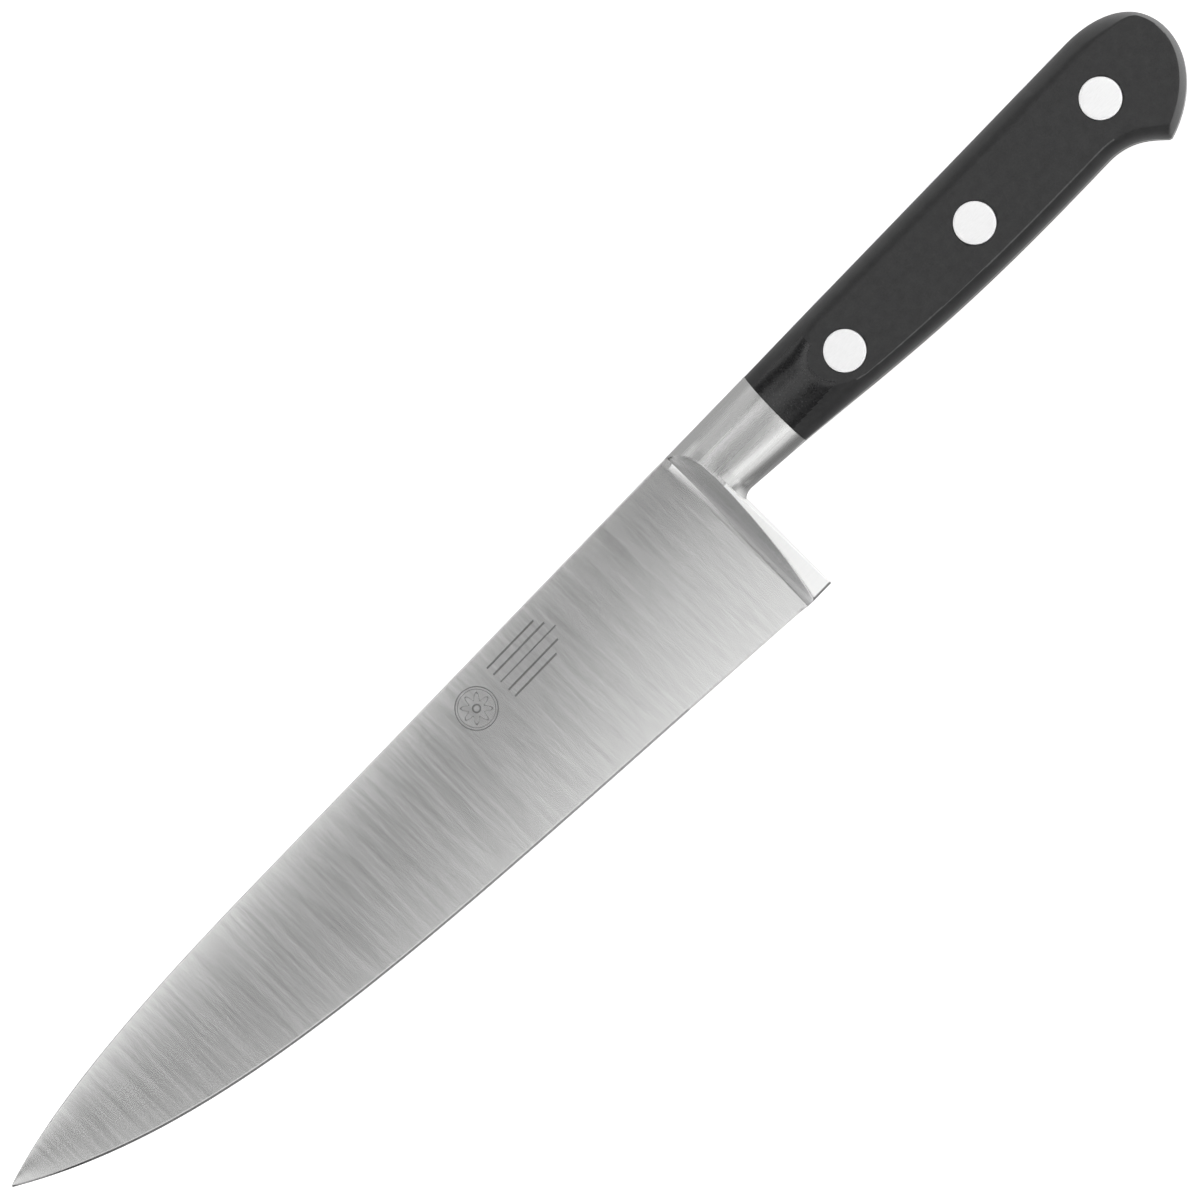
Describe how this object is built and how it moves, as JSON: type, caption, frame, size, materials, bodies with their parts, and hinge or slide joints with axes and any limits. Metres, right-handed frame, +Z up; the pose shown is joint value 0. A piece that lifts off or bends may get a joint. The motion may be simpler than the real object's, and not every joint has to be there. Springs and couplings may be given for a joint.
{
  "type": "chef knife",
  "caption": "Forged chef knife with a bolster, finger guard and full tang, black riveted scales and a wide tapering blade.",
  "frame": {"origin": "middle of the knife's outline seen from above, at the level of the lower flat of the handle, with the knife lying on its side", "axes": "+X along the knife to the tip, +Y across the blade to the cutting edge, +Z up out of the side of the blade that is seen"},
  "size_m": [0.3234, 0.0406, 0.017],
  "materials": {
    "blade_steel": "satin ground stainless steel, fine grind lines running from spine to edge on the blade and along the neck on the bolster",
    "scale_black": "black moulded acetal plastic with a fine satin grain",
    "rivet_alloy": "pale satin metal, ground flush with the scales"
  },
  "bodies": {
    "root": {"forged_blade": "blade_steel", "scale_left": "scale_black", "scale_right": "scale_black", "rivet_male_front": "rivet_alloy", "rivet_male_middle": "rivet_alloy", "rivet_male_rear": "rivet_alloy", "rivet_female_front": "rivet_alloy", "rivet_female_middle": "rivet_alloy", "rivet_female_rear": "rivet_alloy"}
  },
  "joints": []
}
